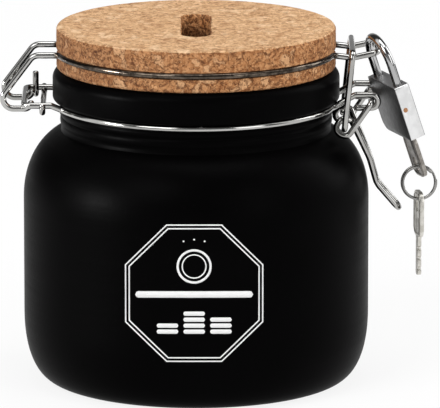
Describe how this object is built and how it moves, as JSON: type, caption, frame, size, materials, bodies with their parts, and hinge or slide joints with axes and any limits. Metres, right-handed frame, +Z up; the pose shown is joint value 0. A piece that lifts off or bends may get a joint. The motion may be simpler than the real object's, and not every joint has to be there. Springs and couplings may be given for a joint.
{
  "type": "money box",
  "caption": "Round black clip-top jar used as a money box, with a slotted cork lid, a wire bail closure and a small padlock with its keys on a ring.",
  "frame": {"origin": "centre of the jar's base", "axes": "+Z up, hinge towards -X, clasp and padlock towards +X, front of the jar towards -Y"},
  "size_m": [0.126, 0.1, 0.1038],
  "materials": {
    "jar": "matt black",
    "cork": "pressed cork granules",
    "wire": "drawn bright wire",
    "shackle": "bright plating",
    "case": "satin",
    "brass": "bare",
    "spring": "bare wire",
    "key": "worn plating"
  },
  "bodies": {
    "jar": {"jar_body": "jar", "neck_ring": "wire", "tie_clip": "wire", "stop_hook": "wire"},
    "lid": {"cork_lid": "cork", "cork_stopper": "cork", "lid_wire": "wire"},
    "link": {"clamp_link": "wire"},
    "lever": {"clamp_lever": "wire"},
    "bail": {"shackle": "shackle"},
    "case": {"padlock_case": "case", "heel_spring": "spring", "latch_spring": "spring", "core_pin": "brass"},
    "bolt": {"latch": "spring"},
    "core": {"lock_core": "brass", "core_wafers": "brass"},
    "key": {"lock_key": "key"},
    "ring": {"key_ring": "wire"},
    "spare": {"spare_key": "key"}
  },
  "joints": [
    {"name": "lid_hinge", "type": "hinge", "parent": "jar", "child": "lid", "pos_m": [-0.0495, 0, 0.0828], "axis": [0, -1, 0], "range_deg": [0, 110]},
    {"name": "lever_lift", "type": "hinge", "parent": "jar", "child": "lever", "pos_m": [0.0505, 0, 0.083], "axis": [0, -1, 0], "range_deg": [0, 72]},
    {"name": "link_swing", "type": "hinge", "parent": "lid", "child": "link", "pos_m": [0.045, 0, 0.0979], "axis": [0, -1, 0], "range_deg": [0, 27]},
    {"name": "padlock_swing", "type": "hinge", "parent": "lid", "child": "bail", "pos_m": [0.0524, 0, 0.0974], "axis": [0, -1, 0], "range_deg": [0, 54]},
    {"name": "case_drop", "type": "slide", "parent": "bail", "child": "case", "axis": [0.305, 0.114, -0.9455], "range_m": [0, 0.0048]},
    {"name": "core_turn", "type": "hinge", "parent": "case", "child": "core", "pos_m": [0.05934, -0.00427, 0.07849], "axis": [0.305, 0.114, -0.9455], "range_deg": [0, 90]},
    {"name": "latch_throw", "type": "slide", "parent": "case", "child": "bolt", "axis": [0.3502, -0.9367, 0], "range_m": [0, 0.00113]},
    {"name": "key_draw", "type": "slide", "parent": "core", "child": "key", "axis": [0.305, 0.114, -0.9455], "range_m": [0, 0.0128]},
    {"name": "ring_swing", "type": "hinge", "parent": "key", "child": "ring", "pos_m": [0.06452, -0.00233, 0.06242], "axis": [1, 0, 0], "range_deg": [-30, 30]},
    {"name": "spare_key_swing", "type": "hinge", "parent": "ring", "child": "spare", "pos_m": [0.06452, -0.00233, 0.05312], "axis": [1, 0, 0], "range_deg": [-30, 30]}
  ],
  "couplings": [
    {"joint": "link_swing", "follows": "lever_lift", "ratio": 0.35},
    {"joint": "padlock_swing", "follows": "lever_lift", "ratio": 0.74},
    {"joint": "core_turn", "follows": "latch_throw", "rad_per_m": 1390}
  ]
}
